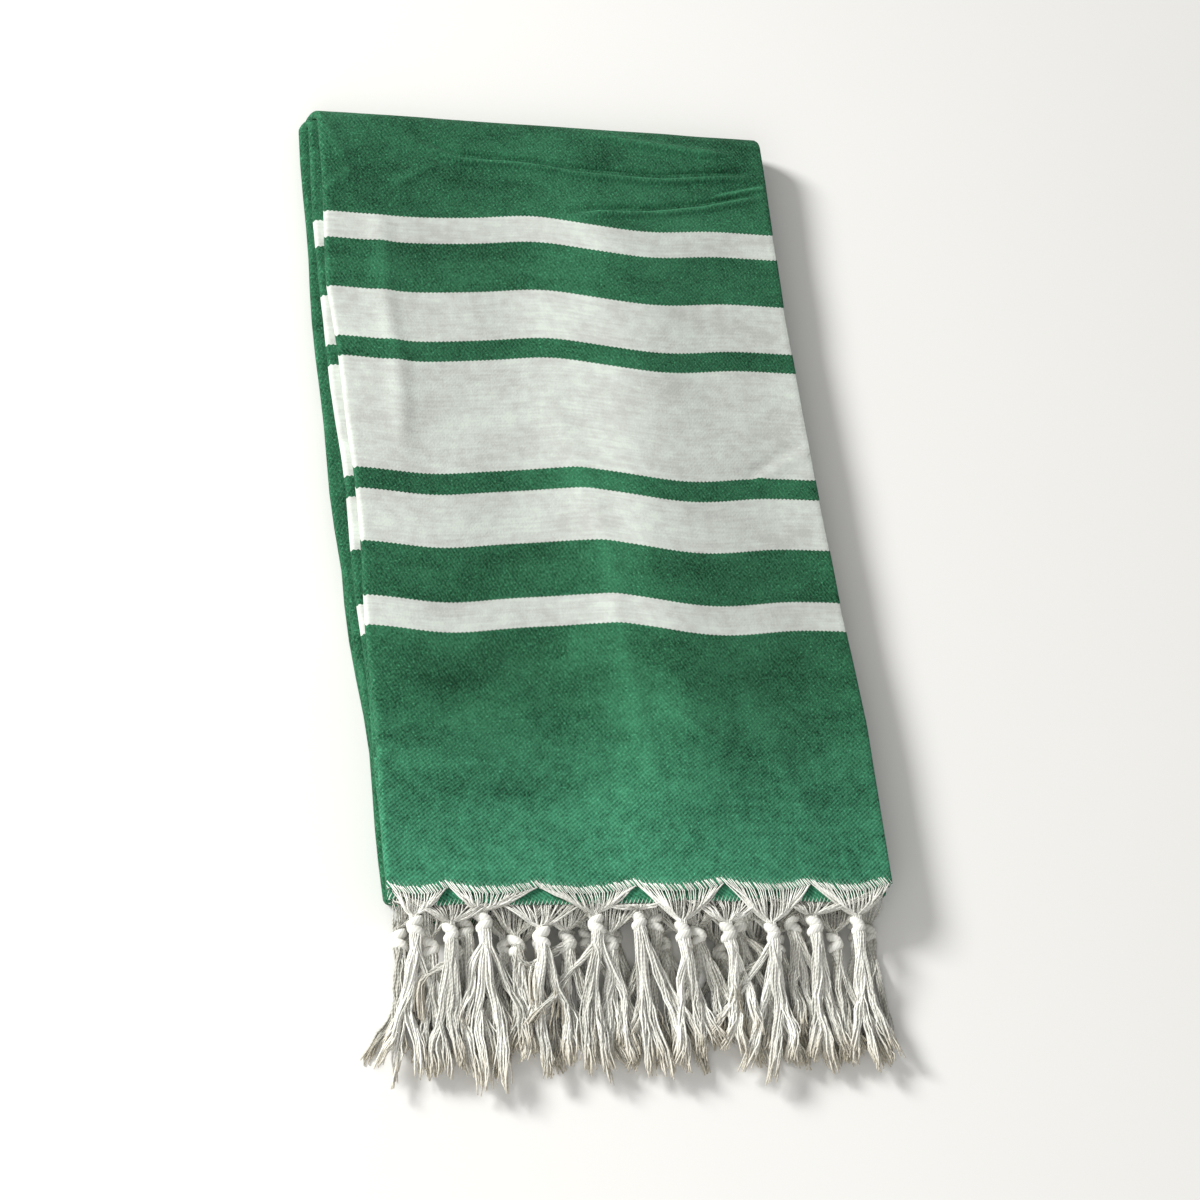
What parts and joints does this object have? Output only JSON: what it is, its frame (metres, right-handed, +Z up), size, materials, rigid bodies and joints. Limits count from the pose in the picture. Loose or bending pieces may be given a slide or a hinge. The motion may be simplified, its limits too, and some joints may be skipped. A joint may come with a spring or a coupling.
{
  "type": "folded hammam towel",
  "caption": "Flat-woven striped cotton bath towel folded into a long flat stack, with knotted tassel fringes at its near end.",
  "frame": {"origin": "centre of the underside of the folded towel's whole box, fringe included, on the surface it lies on", "axes": "+X across the folded width toward the side with the loose edges, -Y toward the fringed hems, +Z up from the surface"},
  "size_m": [0.2624, 0.548, 0.0219],
  "materials": {
    "striped_cotton": "dark green and white cotton twill with cross stripes, matt",
    "fringe_yarn": "loosely twisted undyed white cotton yarn, matt"
  },
  "bodies": {
    "root": {"cloth": "striped_cotton", "fringe_end_a": "fringe_yarn", "fringe_end_b": "fringe_yarn"}
  },
  "joints": []
}
